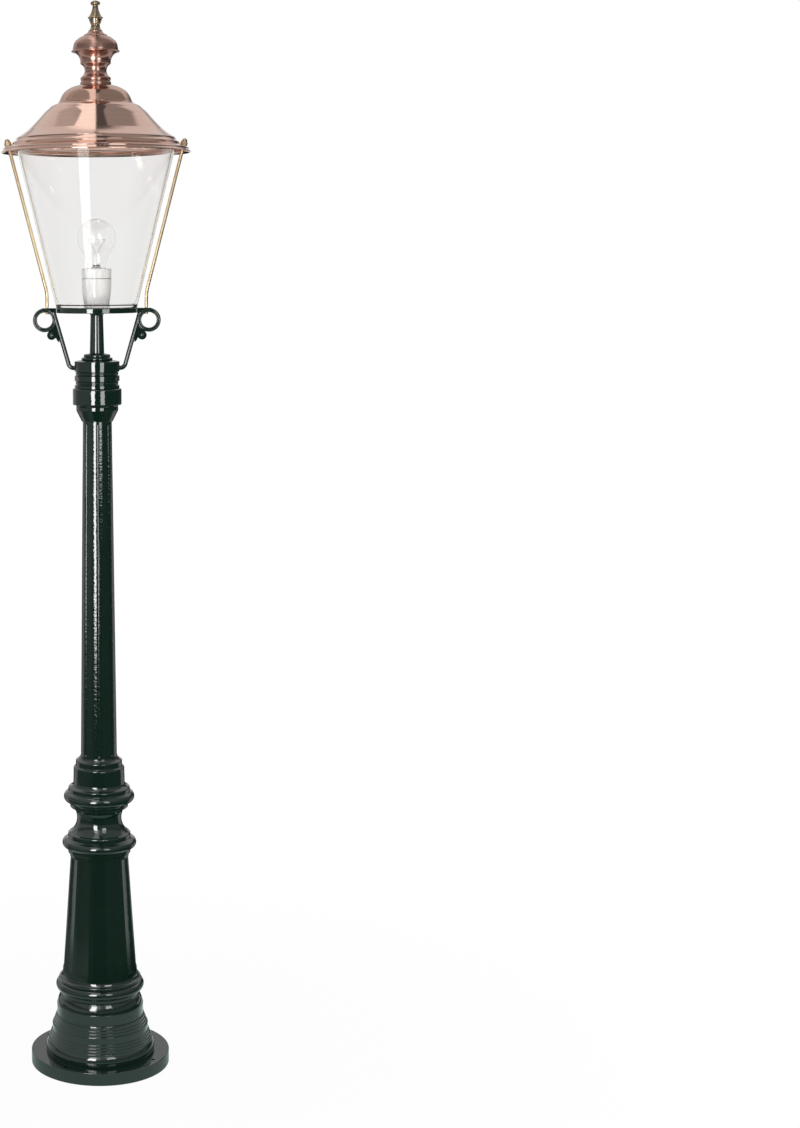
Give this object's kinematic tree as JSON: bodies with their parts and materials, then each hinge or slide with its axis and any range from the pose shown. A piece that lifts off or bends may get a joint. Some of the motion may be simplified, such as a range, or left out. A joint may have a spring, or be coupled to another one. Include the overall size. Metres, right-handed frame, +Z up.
{
  "type": "garden post lamp",
  "caption": "Garden post lamp: fluted cast pedestal, grooved shaft and a turnable lantern with clear cone glass, brass tie rods, spun copper roof, chimney and spire over a screw-in bulb.",
  "frame": {"origin": "Centre of the foot's underside, on the ground.", "axes": "+Z up along the post, -Y to the front as the picture shows it, arms along X."},
  "size_m": [0.293, 0.293, 1.692],
  "materials": {
    "green_paint": "gloss fir-green paint on cast metal",
    "steel": "plain turned steel",
    "seal": "matt black ring",
    "clear_glass": "clear, polished",
    "brass": "polished, lacquered",
    "copper": "spun satin copper with fine turning lines",
    "aged_brass": "darkened satin brass",
    "porcelain": "white gloss glaze",
    "cap_brass": "pressed sheet, bright",
    "bulb_clear": "thin clear blown glass",
    "black_insulator": "black vitrified insulator",
    "solder": "soldered button",
    "lead_wire": "plain drawn wire",
    "tungsten": "dark coiled wire"
  },
  "bodies": {
    "post": {"pedestal": "green_paint", "shaft": "green_paint", "capital": "green_paint"},
    "lantern": {"yoke": "green_paint", "collar_screws": "steel", "glass_seal": "seal", "glass_cone": "clear_glass", "tie_rod_right": "brass", "tie_rod_left": "brass", "dome_nut_right": "brass", "dome_nut_left": "brass", "roof_bell": "copper", "roof_dome": "copper", "chimney_neck": "copper", "chimney_cap": "copper", "spire": "aged_brass", "chimney_stud": "steel", "stud_nut": "steel", "holder_base": "porcelain", "holder_ring": "porcelain", "holder_shell": "cap_brass", "holder_contact": "cap_brass", "holder_nipple": "steel"},
    "bulb": {"bulb_glass": "bulb_clear", "bulb_cap": "cap_brass", "bulb_insulator": "black_insulator", "bulb_contact": "solder", "bulb_stem": "bulb_clear", "bulb_leads": "lead_wire", "bulb_filament": "tungsten"}
  },
  "joints": [
    {"name": "head_swivel", "type": "hinge", "parent": "post", "child": "lantern", "pos_m": [0, 0, 1.119], "axis": [0, 0, 1], "continuous": true},
    {"name": "bulb_turn", "type": "hinge", "parent": "lantern", "child": "bulb", "pos_m": [0, 0, 1.272], "axis": [0, 0, 1], "range_deg": [0, 1260]}
  ]
}
